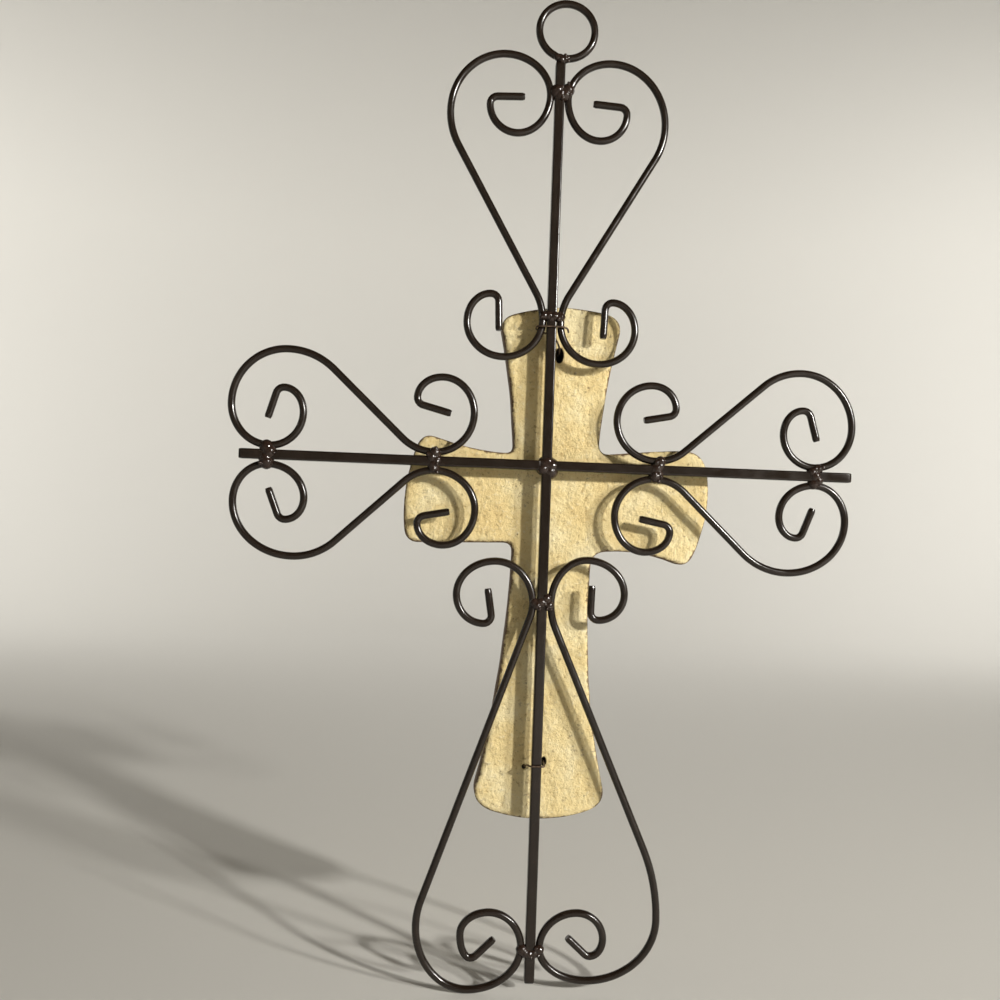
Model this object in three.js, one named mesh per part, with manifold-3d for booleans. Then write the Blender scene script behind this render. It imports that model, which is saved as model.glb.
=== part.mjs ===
// Wall cross: a hand-formed clay cross tied with wire to a scrolled frame of welded steel bar and rod.
// Millimetres, +Z up. The clay cross faces -Y, and the back of the frame faces the wall at +Y.
// The origin is the nail's seat, at the top of the hanging ring's hole.
// The pieces are drawn around the crossing of the bars, with x to the left as seen from behind.

import * as THREE from 'three';
import { mergeVertices } from 'three/addons/utils/BufferGeometryUtils.js';
import Module from 'manifold-3d';

const wasm = await Module();
wasm.setup();

// Stock, and the gap left between pieces that touch
const BAR = 6.35;
const ROD = 4.76;
const WIRE = 1.2;
const FIT = 0.3;

// Upright and arm bars, measured from the crossing
const UPRIGHT_TOP = 262;
const UPRIGHT_FOOT = -325;
const UPRIGHT_LENGTHS = 12;
const ARM_END_LEFT = 199.3;
const ARM_END_RIGHT = 193.7;

// Hanging ring: its mean radius, the place of its centre and the gap between the rod's ends
const RING_RADIUS = 18.2;
const RING_SIDE = -3.7;
const RING_HEIGHT = 283.2;
const RING_GAP = 3;
const RING_STEPS = 20;

// Rods are swept with this many sides, and their bends leave the true curve by this much at most
const ROD_SIDES = 8;
const WIRE_SIDES = 6;
const CHORD_ERROR = 0.4;

// The rod's axis where a scroll touches a bar, the radius of its hooked ends, and how far the two
// scrolls of the heart are bent out of step
const WELD_OUT = BAR / 2 + FIT + ROD / 2;
const HOOK_RADIUS = 5;
const HEART_STAGGER = 1;

// A scroll lies beside a bar. Each place on it is [distance along the bar from the crossing, distance
// out from the bar's axis], at the points where the rod runs along the bar or square to it.
// The outer curl holds the eye: reach and shoulder are its outer turns, and the eye's turns lie inside.
// The inner curl ends in a tail too. The straight run between the curls is worked out.
const SCROLLS = {
  heart: {
    outerWeld: 239,
    eye: { turns: [[213.4, 27], [231.5, 44.7]], tail: [237.4, 22.4] },
    reach: [264.7, 34.5],
    shoulder: [225.5, 70],
    shoulderRadius: 45,
    footRadius: 36,
    innerWeld: 93,
    curl: { turns: [[67.8, 31], [90, 54.4], [108.2, 39.5]], tail: [84.4, 33.7] },
  },
  armUpper: {
    outerWeld: 175.5,
    eye: { turns: [[154.4, 27], [167.5, 42.8]], tail: [176.7, 23] },
    reach: [200, 32.5],
    shoulder: [166, 67.2],
    shoulderRadius: 38.5,
    footRadius: 28,
    innerWeld: 71,
    curl: { turns: [[47.5, 31.2], [68, 53.9], [84, 40.3]], tail: [62.2, 30.8] },
  },
  armLower: {
    outerWeld: 175.8,
    eye: { turns: [[152.7, 27], [164, 40.4]], tail: [175, 21] },
    reach: [196.7, 29],
    shoulder: [158.5, 63.2],
    shoulderRadius: 38,
    footRadius: 28,
    innerWeld: 70.5,
    curl: { turns: [[44.9, 30.4], [65, 53], [81.2, 39.7]], tail: [61, 31.7] },
  },
  bellRight: {
    outerWeld: 304,
    eye: { turns: [[282.3, 26.8], [295.7, 44.4], [310.5, 37.5]], tail: [298.5, 23] },
    reach: [330, 38.7],
    shoulder: [290.8, 72.3],
    shoulderRadius: 47,
    footRadius: 28,
    innerWeld: 88.3,
    curl: { turns: [[62, 30], [83.2, 54.6], [101.7, 37]], tail: [79.5, 34.8] },
  },
  bellLeft: {
    outerWeld: 304,
    eye: { turns: [[282.2, 29], [298.6, 46], [309, 38]], tail: [297.3, 23.2] },
    reach: [324.2, 36],
    shoulder: [286.4, 79.8],
    shoulderRadius: 110,
    footRadius: 40,
    innerWeld: 87.5,
    curl: { turns: [[59.5, 28.5], [81, 52.9], [97.5, 36.5]], tail: [75.6, 31.9] },
  },
};

// Clay cross: thickness, rounding of its edges and the gap to the upright
const CLAY_THICKNESS = 15;
const CLAY_ROUNDING = 4;
const CLAY_GAP = 7;
const CLAY_BACK = -BAR / 2 - CLAY_GAP;

// Its corners in turn, seen from behind, with the rounding of each corner and the bulge of the edge
// that follows it: outwards on the arched ends, inwards along the flared arms
const CLAY_CORNERS = [
  { x: 33, z: 96, rounding: 9, bulge: 7.5 },
  { x: -50, z: 99.5, rounding: 12, bulge: -2.5 },
  { x: -35, z: 9, rounding: 8, bulge: 0.5 },
  { x: -105, z: 15, rounding: 14, bulge: 8 },
  { x: -96, z: -63, rounding: 9, bulge: -5 },
  { x: -33, z: -55, rounding: 8, bulge: -6.5 },
  { x: -47.5, z: -217, rounding: 11, bulge: 10.5 },
  { x: 40.5, z: -217, rounding: 13, bulge: -5 },
  { x: 19, z: -50, rounding: 6, bulge: 0 },
  { x: 88, z: -52, rounding: 8, bulge: 5.5 },
  { x: 80, z: 20, rounding: 10, bulge: -3 },
  { x: 20, z: 8, rounding: 6, bulge: -2 },
];
const CLAY_EDGE_STEPS = 4;
const CLAY_CORNER_STEPS = 3;
const CLAY_BEVEL_STEPS = 2;

// Blind holes in the clay cross's back for the tie wires: centre and half-sizes
const HOLE_DEPTH = 9;
const HOLE_SIDES = 10;
const HOLES = [
  { x: -7, z: 73.5, halfWidth: 3, halfHeight: 5.5 },
  { x: -5.6, z: -190, halfWidth: 1.8, halfHeight: 3.3 },
  { x: 7, z: -193.5, halfWidth: 1.4, halfHeight: 1.6 },
];

// Weld beads on the back of the joints: place, half-sizes and how far they stand proud of the bar
const BEAD_BASE = 1;
const BEAD_COLUMNS = 8;
const BEAD_ROWS = 6;
const BEADS = {
  ring: { x: -0.6, z: 263.5, halfWidth: 5.2, halfHeight: 4.6, proud: 1.6 },
  heart_top: { x: -1, z: 242, halfWidth: 9.2, halfHeight: 7.2, proud: 2.2 },
  heart_foot: { x: 0, z: 95.5, halfWidth: 9.2, halfHeight: 5.4, proud: 2 },
  crossing: { x: -0.5, z: -0.5, halfWidth: 8.8, halfHeight: 9.2, proud: 1.6 },
  bell_top: { x: 0, z: -87, halfWidth: 9, halfHeight: 6.4, proud: 1.8 },
  bell_foot: { x: 0, z: -305, halfWidth: 9, halfHeight: 6, proud: 1.8 },
  left_arm_inner: { x: -71, z: 0, halfWidth: 7.4, halfHeight: 9.4, proud: 2 },
  left_arm_outer: { x: -175.5, z: 0, halfWidth: 7, halfHeight: 9.4, proud: 2 },
  right_arm_inner: { x: 71, z: 0, halfWidth: 7.4, halfHeight: 9.4, proud: 2 },
  right_arm_outer: { x: 176, z: 0, halfWidth: 7, halfHeight: 9.4, proud: 2 },
};

// Tie wires: heights of their turns round the upright, and how far they stand off it
const TOP_TIE = 89;
const FOOT_TIE = -190;
const WIRE_OFF = BAR / 2 + FIT + WIRE / 2;
const WIRE_STEPS = 20;

// Finishes
const CLAY_PAINT = { color: 0xe6d099, roughness: 0.75, metalness: 0 };
const BROWN_STEEL = { color: 0x322a26, roughness: 0.42, metalness: 0.3 };
const WELD_METAL = { color: 0x3a302b, roughness: 0.35, metalness: 0.4 };
const DARK_WIRE = { color: 0x2a2422, roughness: 0.45, metalness: 0.6 };

const QUARTER = Math.PI / 2;
const FULL_TURN = 2 * Math.PI;

// Number of straight steps that follow an arc within the chord error
function arcSteps(radius, angle) {
  const step = 2 * Math.acos(1 - CHORD_ERROR / radius);
  return Math.max(1, Math.ceil(Math.abs(angle) / step));
}

// Points of an arc after its first point, from one angle to another
function arc(centre, radius, fromAngle, toAngle) {
  const steps = arcSteps(radius, toAngle - fromAngle);
  const points = [];
  for (let i = 1; i <= steps; i += 1) {
    const angle = fromAngle + ((toAngle - fromAngle) * i) / steps;
    points.push([centre[0] + radius * Math.cos(angle), centre[1] + radius * Math.sin(angle)]);
  }
  return points;
}

// Points of a quarter ellipse after its first point. It leaves along the bar, or square to it.
function quarterTurn(from, to, leavesAlong) {
  const across = to[0] - from[0];
  const out = to[1] - from[1];
  const steps = arcSteps((Math.abs(across) + Math.abs(out)) / 2, QUARTER);
  const points = [];
  for (let i = 1; i <= steps; i += 1) {
    const angle = (QUARTER * i) / steps;
    const early = Math.sin(angle);
    const late = 1 - Math.cos(angle);
    const [alongShare, outShare] = leavesAlong ? [early, late] : [late, early];
    points.push([from[0] + across * alongShare, from[1] + out * outShare]);
  }
  return points;
}

// A curl from its weld to its tail: quarter turns, all the same way, then a hook and a straight tail
function curl(weld, { turns, tail }) {
  const points = [[weld, WELD_OUT]];
  let leavesAlong = true;
  for (const turn of turns) {
    points.push(...quarterTurn(points[points.length - 1], turn, leavesAlong));
    leavesAlong = !leavesAlong;
  }
  const end = turns[turns.length - 1];
  const hookStart = QUARTER * (3 - turns.length);
  const centre = [
    end[0] - HOOK_RADIUS * Math.cos(hookStart),
    end[1] - HOOK_RADIUS * Math.sin(hookStart),
  ];
  const toTail = Math.atan2(tail[1] - centre[1], tail[0] - centre[0]);
  const spread = Math.acos(HOOK_RADIUS / Math.hypot(tail[0] - centre[0], tail[1] - centre[1]));
  let hookEnd = toTail + spread;
  while (hookEnd > hookStart) {
    hookEnd -= FULL_TURN;
  }
  points.push(...arc(centre, HOOK_RADIUS, hookStart, hookEnd));
  points.push(tail);
  return points;
}

// The run from the outer curl's shoulder to the inner weld: an arc, a straight and a counter-arc
function run({ shoulder, shoulderRadius, footRadius, innerWeld }) {
  const outer = [shoulder[0], shoulder[1] - shoulderRadius];
  const inner = [innerWeld, WELD_OUT + footRadius];
  const across = outer[0] - inner[0];
  const out = outer[1] - inner[1];
  const drop = Math.atan2(out, across) + Math.asin((shoulderRadius + footRadius) / Math.hypot(across, out));
  return [
    ...arc(outer, shoulderRadius, QUARTER, QUARTER + drop),
    [inner[0] + footRadius * Math.sin(drop), inner[1] - footRadius * Math.cos(drop)],
    ...arc(inner, footRadius, drop - QUARTER, -QUARTER),
  ];
}

// The whole axis of a scroll, from the tail in its eye to the tail of its inner curl
function scrollAxis(scroll) {
  const weld = [scroll.outerWeld, WELD_OUT];
  return [
    ...curl(scroll.outerWeld, scroll.eye).reverse(),
    ...quarterTurn(weld, scroll.reach, true),
    ...quarterTurn(scroll.reach, scroll.shoulder, false),
    ...run(scroll),
    ...curl(scroll.innerWeld, scroll.curl).slice(1),
  ];
}

// A path held as its stations, so that a sweep has a section at each of them and nowhere else
class StationPath extends THREE.Curve {
  constructor(stations) {
    super();
    this.stations = stations;
  }

  getPoint(share, target = new THREE.Vector3()) {
    const last = this.stations.length - 1;
    const index = Math.min(Math.floor(share * last), last - 1);
    return target.lerpVectors(this.stations[index], this.stations[index + 1], share * last - index);
  }

  getPointAt(share, target) {
    return this.getPoint(share, target);
  }

  getTangentAt(share, target = new THREE.Vector3()) {
    const last = this.stations.length - 1;
    const index = Math.round(share * last);
    const here = this.stations[index];
    const before = index > 0 ? here.clone().sub(this.stations[index - 1]).normalize() : new THREE.Vector3();
    const after = index < last ? this.stations[index + 1].clone().sub(here).normalize() : new THREE.Vector3();
    return target.addVectors(before, after).normalize();
  }
}

// A regular or stretched polygon, for the sections of rods and wires and the mouths of holes
function polygon(halfWidth, halfHeight, sides) {
  const corners = [];
  for (let i = 0; i < sides; i += 1) {
    const angle = (FULL_TURN * i) / sides;
    corners.push(new THREE.Vector2(halfWidth * Math.cos(angle), halfHeight * Math.sin(angle)));
  }
  return new THREE.Shape(corners);
}

// A round rod or wire along its stations
function sweep(stations, radius, sides) {
  return new THREE.ExtrudeGeometry(polygon(radius, radius, sides), {
    steps: stations.length - 1,
    extrudePath: new StationPath(stations),
  });
}

// Closed geometry as a solid that can be cut, and back
function toSolid(geometry) {
  const bare = geometry.clone();
  bare.deleteAttribute('normal');
  bare.deleteAttribute('uv');
  const merged = mergeVertices(bare);
  return new wasm.Manifold(new wasm.Mesh({
    numProp: 3,
    vertProperties: merged.attributes.position.array,
    triVerts: new Uint32Array(merged.index.array),
  }));
}

function toGeometry(solid) {
  const { vertProperties, triVerts } = solid.getMesh();
  const geometry = new THREE.BufferGeometry();
  geometry.setAttribute('position', new THREE.BufferAttribute(vertProperties, 3));
  geometry.setIndex(new THREE.BufferAttribute(triVerts, 1));
  geometry.computeVertexNormals();
  return geometry;
}

// The square bars, thicker by a margin on every side where they only cut the weld beads
function upright(margin = 0) {
  const length = UPRIGHT_TOP - UPRIGHT_FOOT + 2 * margin;
  const side = BAR + 2 * margin;
  const bar = new THREE.BoxGeometry(side, side, length, 1, 1, UPRIGHT_LENGTHS);
  return bar.translate(0, 0, (UPRIGHT_TOP + UPRIGHT_FOOT) / 2);
}

function arm(side, end, margin = 0) {
  const start = BAR / 2 + FIT - margin;
  const thickness = BAR + 2 * margin;
  const bar = new THREE.BoxGeometry(end + margin - start, thickness, thickness);
  return bar.translate((side * (end + margin + start)) / 2, 0, 0);
}

// The hanging ring: a rod bent round until its ends nearly meet above the upright
function ringStations() {
  const seam = Math.atan2(-RING_RADIUS, -RING_SIDE);
  const halfGap = RING_GAP / 2 / RING_RADIUS;
  const stations = [];
  for (let i = 0; i <= RING_STEPS; i += 1) {
    const angle = seam + halfGap + ((FULL_TURN - 2 * halfGap) * i) / RING_STEPS;
    const x = RING_SIDE + RING_RADIUS * Math.cos(angle);
    stations.push(new THREE.Vector3(x, 0, RING_HEIGHT + RING_RADIUS * Math.sin(angle)));
  }
  return stations;
}

// Where each scroll goes: its shape, and how its distances along and out turn into x and z. The arms'
// scrolls are bent by hand to one pattern, and each side differs from it a little.
const PLACES = {
  heart_scroll_left: [SCROLLS.heart, (along, out) => [-out, along - HEART_STAGGER]],
  heart_scroll_right: [{ ...SCROLLS.heart, innerWeld: 92 }, (along, out) => [out, along + HEART_STAGGER]],
  arm_scroll_upper_left: [
    { ...SCROLLS.armUpper, curl: { turns: [[44.6, 31.2], [67.5, 54.6], [83, 40]], tail: [62.2, 31.8] } },
    (along, out) => [-along, out],
  ],
  arm_scroll_upper_right: [
    {
      ...SCROLLS.armUpper,
      eye: { turns: [[155.2, 27], [167.7, 42.8]], tail: [177.2, 23] },
      shoulderRadius: 42,
      footRadius: 30,
      innerWeld: 72,
    },
    (along, out) => [along, out],
  ],
  arm_scroll_lower_left: [{ ...SCROLLS.armLower, shoulderRadius: 42 }, (along, out) => [-along, -out]],
  arm_scroll_lower_right: [{ ...SCROLLS.armLower, innerWeld: 71.2 }, (along, out) => [along, -out]],
  bell_scroll_left: [SCROLLS.bellLeft, (along, out) => [-out, -along]],
  bell_scroll_right: [SCROLLS.bellRight, (along, out) => [out, -along]],
};

function scrollStations(name) {
  const [shape, place] = PLACES[name];
  return scrollAxis(shape).map(([along, out]) => {
    const [x, z] = place(along, out);
    return new THREE.Vector3(x, 0, z);
  });
}

// A point on the edge between two corners, which bulges to its left hand seen from behind
function edgePoint(from, to, bulge, share) {
  const x = to.x - from.x;
  const z = to.z - from.z;
  const length = Math.hypot(x, z);
  const swell = (4 * bulge * share * (1 - share)) / length;
  return new THREE.Vector2(from.x + x * share + z * swell, from.z + z * share - x * swell);
}

// The clay cross's outline: bulging edges joined by rounded corners
function clayOutline() {
  const points = [];
  const count = CLAY_CORNERS.length;
  for (let i = 0; i < count; i += 1) {
    const before = CLAY_CORNERS[(i + count - 1) % count];
    const here = CLAY_CORNERS[i];
    const next = CLAY_CORNERS[(i + 1) % count];
    const cutBefore = here.rounding / Math.hypot(here.x - before.x, here.z - before.z);
    const cutAfter = here.rounding / Math.hypot(next.x - here.x, next.z - here.z);
    const cutNext = next.rounding / Math.hypot(next.x - here.x, next.z - here.z);
    const arrive = edgePoint(before, here, before.bulge, 1 - cutBefore);
    const leave = edgePoint(here, next, here.bulge, cutAfter);
    const corner = new THREE.QuadraticBezierCurve(arrive, new THREE.Vector2(here.x, here.z), leave);
    points.push(...corner.getPoints(CLAY_CORNER_STEPS));
    for (let step = 1; step < CLAY_EDGE_STEPS; step += 1) {
      const share = cutAfter + ((1 - cutAfter - cutNext) * step) / CLAY_EDGE_STEPS;
      points.push(edgePoint(here, next, here.bulge, share));
    }
  }
  return new THREE.Shape(points);
}

// An upright shape drawn in x and z, pushed towards the front from the plane y = back
function pushForward(shape, depth, back, bevel = {}) {
  const geometry = new THREE.ExtrudeGeometry(shape, { depth, bevelEnabled: false, ...bevel });
  return geometry.rotateX(QUARTER).translate(0, back, 0);
}

// The clay cross, with rounded edges and blind holes for the wires
function clayCross() {
  const slab = pushForward(clayOutline(), CLAY_THICKNESS - 2 * CLAY_ROUNDING, CLAY_BACK - CLAY_ROUNDING, {
    bevelEnabled: true,
    bevelThickness: CLAY_ROUNDING,
    bevelSize: CLAY_ROUNDING,
    bevelOffset: -CLAY_ROUNDING,
    bevelSegments: CLAY_BEVEL_STEPS,
  });
  let solid = toSolid(slab);
  for (const { x, z, halfWidth, halfHeight } of HOLES) {
    const hole = pushForward(polygon(halfWidth, halfHeight, HOLE_SIDES), 2 * HOLE_DEPTH, CLAY_BACK + HOLE_DEPTH);
    solid = solid.subtract(toSolid(hole.translate(x, 0, z)));
  }
  return toGeometry(solid);
}

// The whole frame grown by the fitting gap, which the beads are cut by
function frameWithGap() {
  const rods = Object.keys(PLACES).map((name) => sweep(scrollStations(name), ROD / 2 + FIT, ROD_SIDES));
  const bars = [upright(FIT), arm(-1, ARM_END_LEFT, FIT), arm(1, ARM_END_RIGHT, FIT)];
  const ring = sweep(ringStations(), ROD / 2 + FIT, ROD_SIDES);
  return [...rods, ...bars, ring].map(toSolid).reduce((whole, piece) => whole.add(piece));
}

// A weld bead: a low lump over a joint, cut clear of the bars and rods that it joins
function bead({ x, z, halfWidth, halfHeight, proud }, frame) {
  const height = BAR / 2 + proud - BEAD_BASE;
  const lump = new THREE.SphereGeometry(1, BEAD_COLUMNS, BEAD_ROWS).rotateX(QUARTER);
  lump.scale(halfWidth, height, halfHeight).translate(x, BEAD_BASE, z);
  const below = new THREE.BoxGeometry(4 * halfWidth, 2 * height, 4 * halfHeight);
  below.translate(x, BEAD_BASE - height, z);
  return toGeometry(toSolid(lump).subtract(toSolid(below)).subtract(frame));
}

// The tie wires' routes, in x, y and z: from the free end, round the bars and into the clay cross
const TOP_TIE_ROUTE = [
  [-11, 1.5, TOP_TIE - 3],
  [-9.8, 3.2, TOP_TIE - 0.7],
  [-6, WIRE_OFF, TOP_TIE],
  [0, WIRE_OFF, TOP_TIE],
  [6, WIRE_OFF, TOP_TIE],
  [9.2, 2.6, TOP_TIE],
  [9.8, 0, TOP_TIE - 0.4],
  [9.2, -2.6, TOP_TIE - 1],
  [6, -4.4, TOP_TIE - 2],
  [0, -4.8, TOP_TIE - 4],
  [-4, -5.6, TOP_TIE - 7],
  [-6.5, -8, TOP_TIE - 11],
  [-7, -12, TOP_TIE - 14],
  [-7, -17, TOP_TIE - 15],
];
const FOOT_TIE_ROUTE = [
  [-5.6, -17, FOOT_TIE],
  [-5.6, -11, FOOT_TIE],
  [-5.4, -5, FOOT_TIE],
  [-4.9, 2.6, FOOT_TIE],
  [-3.3, 4.5, FOOT_TIE],
  [0, 4.4, FOOT_TIE],
  [3.3, 4.5, FOOT_TIE],
  [4.9, 2.6, FOOT_TIE],
  [5.5, -4, FOOT_TIE - 1],
  [6.6, -9, FOOT_TIE - 2.8],
  [7, -12, FOOT_TIE - 3.5],
  [7, -16.5, FOOT_TIE - 3.5],
];

function tieWire(route) {
  const axis = new THREE.CatmullRomCurve3(route.map((point) => new THREE.Vector3(...point)));
  return sweep(axis.getSpacedPoints(WIRE_STEPS), WIRE / 2, WIRE_SIDES);
}

const wallCross = new THREE.Group();
wallCross.position.set(-RING_SIDE, 0, ROD / 2 - RING_RADIUS - RING_HEIGHT);

function addPiece(name, geometry, finish) {
  const piece = new THREE.Mesh(geometry, new THREE.MeshStandardMaterial(finish));
  piece.name = name;
  wallCross.add(piece);
}

addPiece('clay_cross', clayCross(), CLAY_PAINT);
addPiece('upright_bar', upright(), BROWN_STEEL);
addPiece('arm_bar_left', arm(-1, ARM_END_LEFT), BROWN_STEEL);
addPiece('arm_bar_right', arm(1, ARM_END_RIGHT), BROWN_STEEL);
addPiece('hanging_ring', sweep(ringStations(), ROD / 2, ROD_SIDES), BROWN_STEEL);
for (const name of Object.keys(PLACES)) {
  addPiece(name, sweep(scrollStations(name), ROD / 2, ROD_SIDES), BROWN_STEEL);
}
const frame = frameWithGap();
for (const [joint, size] of Object.entries(BEADS)) {
  addPiece(`weld_${joint}`, bead(size, frame), WELD_METAL);
}
addPiece('tie_wire_top', tieWire(TOP_TIE_ROUTE), DARK_WIRE);
addPiece('tie_wire_foot', tieWire(FOOT_TIE_ROUTE), DARK_WIRE);
wallCross.updateMatrixWorld(true);

export default wallCross;
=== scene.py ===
"""Looks of the wall cross: a hand-formed clay cross tied with wire to a scrolled frame of welded steel.

The frame's axes hold throughout: +Z up, the clay cross faces -Y and the back of the frame faces +Y.
Shapes are drawn in millimetres around the crossing of the bars and become meshes in metres.
"""

import math
import random

import bpy
import numpy as np
from mathutils import Matrix, Vector, geometry, kdtree, noise


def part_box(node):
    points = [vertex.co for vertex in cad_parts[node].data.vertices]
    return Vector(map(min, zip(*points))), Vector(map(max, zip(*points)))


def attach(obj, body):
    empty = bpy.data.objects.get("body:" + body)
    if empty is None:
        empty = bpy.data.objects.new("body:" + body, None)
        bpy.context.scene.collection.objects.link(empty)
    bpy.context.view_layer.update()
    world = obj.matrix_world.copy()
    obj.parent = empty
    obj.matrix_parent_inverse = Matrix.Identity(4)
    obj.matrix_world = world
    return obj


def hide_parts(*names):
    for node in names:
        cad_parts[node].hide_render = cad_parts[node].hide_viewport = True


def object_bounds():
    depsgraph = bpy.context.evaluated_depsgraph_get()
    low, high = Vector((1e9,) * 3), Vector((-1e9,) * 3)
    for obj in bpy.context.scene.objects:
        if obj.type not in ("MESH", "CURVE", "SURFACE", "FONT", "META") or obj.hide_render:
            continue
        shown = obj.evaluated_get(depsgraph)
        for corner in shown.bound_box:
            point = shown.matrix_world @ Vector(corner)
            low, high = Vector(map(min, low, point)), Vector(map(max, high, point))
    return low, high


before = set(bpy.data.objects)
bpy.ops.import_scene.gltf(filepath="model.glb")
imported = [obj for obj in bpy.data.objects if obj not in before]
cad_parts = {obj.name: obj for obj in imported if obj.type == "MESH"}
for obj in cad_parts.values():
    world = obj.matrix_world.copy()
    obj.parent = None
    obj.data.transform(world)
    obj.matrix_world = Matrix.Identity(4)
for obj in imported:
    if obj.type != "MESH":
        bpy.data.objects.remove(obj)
cad_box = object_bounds()

MM = 0.001
SEED = 7

# The crossing of the bars, where the drawings have their origin
upright_low, upright_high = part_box("upright_bar")
arm_low, arm_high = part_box("arm_bar_left")
CROSSING = Vector(((upright_low.x + upright_high.x) / 2, 0, (arm_low.z + arm_high.z) / 2))

# Stock
BAR = (upright_high.x - upright_low.x) / MM
ROD = 4.76
WIRE = 1.2
FIT = 0.3
BAR_EDGE = 1.2

# Hanging ring
RING_RADIUS = 18.1
RING_SIDE = -3.7
RING_HEIGHT = 283.2
RING_GAP = 3

# Scrolls: places are (along the bar from the crossing, out from the bar's axis)
WELD_OUT = BAR / 2 + FIT + ROD / 2
HOOK_RADIUS = 5
HEART_STAGGER = 1
TURN_STEP = math.radians(3)

HEART = {
    "outer_weld": 239,
    "eye": ([(213.4, 27), (231.5, 44.7)], (237.4, 22.4)),
    "reach": (264.7, 34.5),
    "shoulder": (225.5, 70),
    "shoulder_radius": 45,
    "foot_radius": 36,
    "inner_weld": 93,
    "curl": ([(67.8, 31), (90, 54.4), (108.2, 39.5)], (84.4, 33.7)),
}
ARM_UPPER = {
    "outer_weld": 175.5,
    "eye": ([(154.4, 27), (167.5, 42.8)], (176.7, 23)),
    "reach": (200, 32.5),
    "shoulder": (166, 67.2),
    "shoulder_radius": 38.5,
    "foot_radius": 28,
    "inner_weld": 71,
    "curl": ([(47.5, 31.2), (68, 53.9), (84, 40.3)], (62.2, 30.8)),
}
ARM_LOWER = {
    "outer_weld": 175.8,
    "eye": ([(152.7, 27), (164, 40.4)], (175, 21)),
    "reach": (196.7, 29),
    "shoulder": (158.5, 63.2),
    "shoulder_radius": 38,
    "foot_radius": 28,
    "inner_weld": 70.5,
    "curl": ([(44.9, 30.4), (65, 53), (81.2, 39.7)], (61, 31.7)),
}
BELL_RIGHT = {
    "outer_weld": 304,
    "eye": ([(282.3, 26.8), (295.7, 44.4), (310.5, 37.5)], (298.5, 23)),
    "reach": (330, 38.7),
    "shoulder": (290.8, 72.3),
    "shoulder_radius": 47,
    "foot_radius": 28,
    "inner_weld": 88.3,
    "curl": ([(62, 30), (83.2, 54.6), (101.7, 37)], (79.5, 34.8)),
}
BELL_LEFT = {
    "outer_weld": 304,
    "eye": ([(282.2, 29), (298.6, 46), (309, 38)], (297.3, 23.2)),
    "reach": (324.2, 36),
    "shoulder": (286.4, 79.8),
    "shoulder_radius": 110,
    "foot_radius": 40,
    "inner_weld": 87.5,
    "curl": ([(59.5, 28.5), (81, 52.9), (97.5, 36.5)], (75.6, 31.9)),
}
# Each scroll's shape with its own hand bending, and how along and out become x and z
SCROLLS = {
    "heart_scroll_left": (HEART, lambda along, out: (-out, along - HEART_STAGGER)),
    "heart_scroll_right": (HEART | {"inner_weld": 92}, lambda along, out: (out, along + HEART_STAGGER)),
    "arm_scroll_upper_left": (
        ARM_UPPER | {"curl": ([(44.6, 31.2), (67.5, 54.6), (83, 40)], (62.2, 31.8))},
        lambda along, out: (-along, out),
    ),
    "arm_scroll_upper_right": (
        ARM_UPPER | {
            "eye": ([(155.2, 27), (167.7, 42.8)], (177.2, 23)),
            "shoulder_radius": 42,
            "foot_radius": 30,
            "inner_weld": 72,
        },
        lambda along, out: (along, out),
    ),
    "arm_scroll_lower_left": (ARM_LOWER | {"shoulder_radius": 42}, lambda along, out: (-along, -out)),
    "arm_scroll_lower_right": (ARM_LOWER | {"inner_weld": 71.2}, lambda along, out: (along, -out)),
    "bell_scroll_left": (BELL_LEFT, lambda along, out: (-out, -along)),
    "bell_scroll_right": (BELL_RIGHT, lambda along, out: (out, -along)),
}

# Tie wires: from end to end, in x, y and z
TOP_TIE = 89
FOOT_TIE = -190
WIRE_OFF = BAR / 2 + FIT + WIRE / 2
TIE_WIRES = {
    "tie_wire_top": [
        (-11, 1.5, TOP_TIE - 3), (-9.8, 3.2, TOP_TIE - 0.7), (-6, WIRE_OFF, TOP_TIE),
        (0, WIRE_OFF, TOP_TIE), (6, WIRE_OFF, TOP_TIE), (9.2, 2.6, TOP_TIE),
        (9.8, 0, TOP_TIE - 0.4), (9.2, -2.6, TOP_TIE - 1), (6, -4.4, TOP_TIE - 2),
        (0, -4.8, TOP_TIE - 4), (-4, -5.6, TOP_TIE - 7), (-6.5, -8, TOP_TIE - 11),
        (-7, -12, TOP_TIE - 14), (-7, -17, TOP_TIE - 15),
    ],
    "tie_wire_foot": [
        (-5.6, -17, FOOT_TIE), (-5.6, -11, FOOT_TIE), (-5.4, -5, FOOT_TIE),
        (-4.9, 2.6, FOOT_TIE), (-3.3, 4.5, FOOT_TIE), (0, 4.4, FOOT_TIE),
        (3.3, 4.5, FOOT_TIE), (4.9, 2.6, FOOT_TIE), (5.5, -4, FOOT_TIE - 1),
        (6.6, -9, FOOT_TIE - 2.8), (7, -12, FOOT_TIE - 3.5), (7, -16.5, FOOT_TIE - 3.5),
    ],
}

# Clay cross: corners seen from behind as (x, z, rounding, bulge of the edge that follows)
CLAY_THICKNESS = 15
CLAY_ROUNDING = 4
CLAY_BACK = -BAR / 2 - 7
CLAY_CORNERS = [
    (33, 96, 9, 7.5), (-50, 99.5, 12, -2.5), (-35, 9, 8, 0.5), (-105, 15, 14, 8),
    (-96, -63, 9, -5), (-33, -55, 8, -6.5), (-47.5, -217, 11, 10.5), (40.5, -217, 13, -5),
    (19, -50, 6, 0), (88, -52, 8, 5.5), (80, 20, 10, -3), (20, 8, 6, -2),
]
# Holes for the wires as (x, z, half width, half height)
CLAY_HOLES = [(-7, 73.5, 3, 5.5), (-5.6, -190, 1.8, 3.3), (7, -193.5, 1.4, 1.6)]
HOLE_DEPTH = 9


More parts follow.
